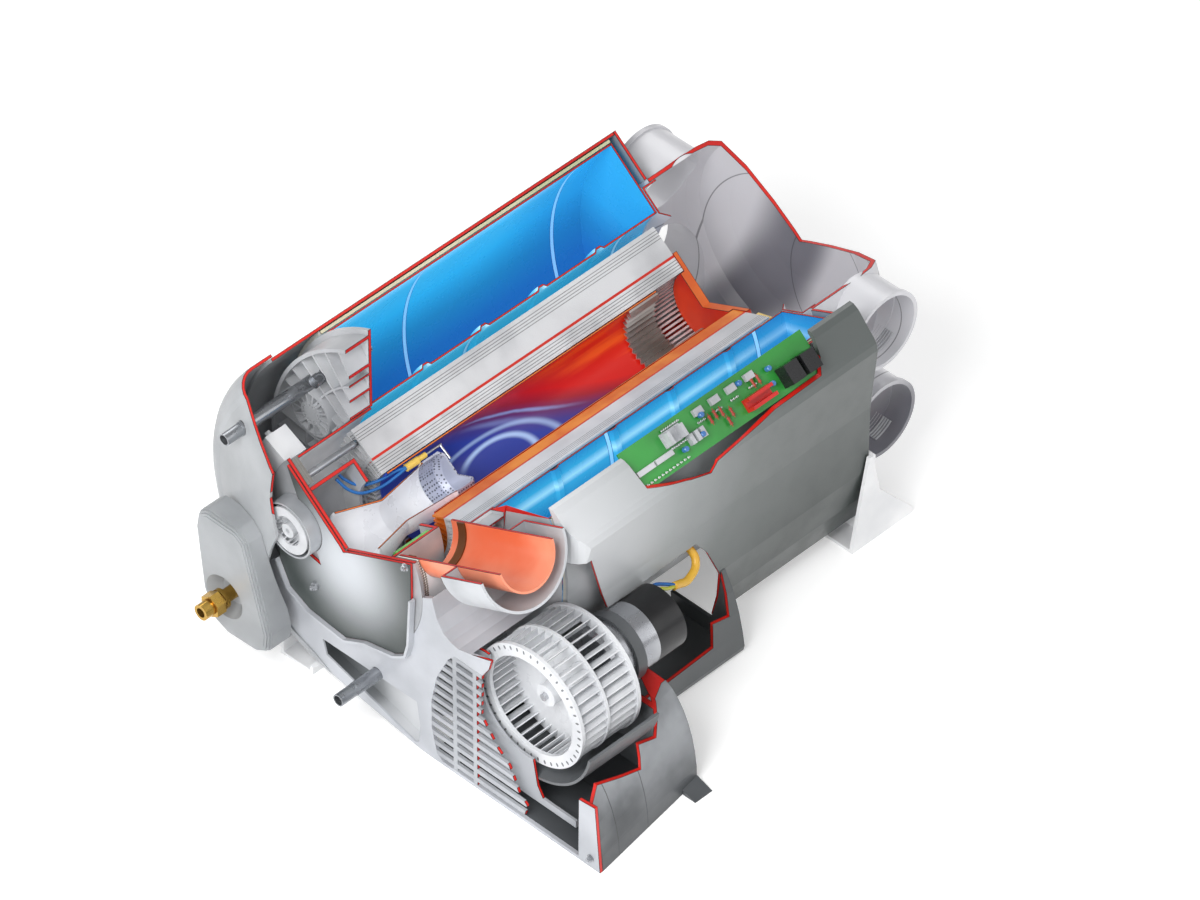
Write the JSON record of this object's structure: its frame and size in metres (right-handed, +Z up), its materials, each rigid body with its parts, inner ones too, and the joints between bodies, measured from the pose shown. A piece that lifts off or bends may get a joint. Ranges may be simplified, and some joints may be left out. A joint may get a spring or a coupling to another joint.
{
  "type": "combi heater cutaway",
  "caption": "Cutaway gas combi heater for caravans: burner, finned heat exchanger, ring-shaped water tank, warm air blower, electronics and warm air outlets.",
  "frame": {"origin": "on the floor under the middle of the part's box", "axes": "+X along the barrel's axis towards the warm air outlets, +Z up, -Y towards the blower's side"},
  "size_m": [0.536, 0.405, 0.2779],
  "materials": {
    "casing_grey": "satin",
    "insulation": "matte",
    "tank_blue": "satin",
    "cap_light": "satin",
    "bright_steel": "brushed",
    "cast_aluminium": "satin",
    "heated_steel": "satin",
    "sensor_yellow": "satin",
    "flange_red": "satin",
    "gasket_mat": "matte",
    "white_ceramic": "satin",
    "cable_blue": "satin",
    "gas_green": "satin",
    "exhaust_salmon": "satin",
    "housing_light": "satin",
    "clamp_brown": "satin",
    "cover_dark": "satin",
    "brass": "satin",
    "grille_grey": "satin",
    "white_plastic": "satin",
    "black_plastic": "satin",
    "board_green": "satin",
    "board_parts_grey": "satin",
    "fuse_red": "satin",
    "distributor_grey": "satin"
  },
  "bodies": {
    "heater": {"casing_shell": "casing_grey", "casing_front_cap": "casing_grey", "casing_rear_plate": "casing_grey", "insulation_jacket": "insulation", "tank_outer_wall": "tank_blue", "tank_inner_wall": "tank_blue", "tank_rear_ring": "tank_blue", "tank_front_cap": "cap_light", "tank_neck": "bright_steel", "warm_water_pipe": "bright_steel", "vent_pipe": "bright_steel", "cold_water_pipe": "bright_steel", "heat_exchanger": "cast_aluminium", "combustion_tube": "heated_steel", "chamber_rear_wall": "heated_steel", "turbulator_ring": "bright_steel", "heat_sensor": "sensor_yellow", "burner_cover": "cover_dark", "burner_flange": "flange_red", "burner_gasket": "gasket_mat", "burner_cup": "cast_aluminium", "mixing_tube": "bright_steel", "burner_head": "heated_steel", "electrode_insulator": "white_ceramic", "electrode_rod": "bright_steel", "ignition_cable": "cable_blue", "gas_pipe": "gas_green", "combustion_air_housing": "cast_aluminium", "temperature_switch": "white_plastic", "exhaust_duct": "exhaust_salmon", "air_intake_socket": "housing_light", "exhaust_clamp": "clamp_brown", "gas_cover": "cover_dark", "gas_fitting": "brass", "front_housing": "housing_light", "intake_grille": "grille_grey", "fan_cheek": "grille_grey", "fan_scroll": "cover_dark", "fan_housing": "housing_light", "fan_motor": "bright_steel", "motor_end_cap": "black_plastic", "motor_bracket": "cover_dark", "motor_cable": "sensor_yellow", "lower_housing": "cover_dark", "electronics_cover": "cover_dark", "circuit_board": "board_green", "relays": "black_plastic", "board_parts": "board_parts_grey", "fuse_holder": "fuse_red", "board_brackets": "bright_steel", "air_distributor": "distributor_grey", "flow_ring": "distributor_grey", "front_foot": "white_plastic", "rear_feet": "white_plastic", "housing_screws": "bright_steel"},
    "blower_wheel": {"fan_wheel": "white_plastic", "fan_shaft": "bright_steel"},
    "combustion_air_wheel": {"combustion_impeller": "white_plastic"}
  },
  "joints": [
    {"name": "blower_spin", "type": "hinge", "parent": "heater", "child": "blower_wheel", "pos_m": [-0.161, -0.1155, 0.096], "axis": [1, 0, 0], "continuous": true},
    {"name": "combustion_air_spin", "type": "hinge", "parent": "heater", "child": "combustion_air_wheel", "pos_m": [-0.217, 0.10038, 0.1485], "axis": [1, 0, 0], "continuous": true}
  ]
}
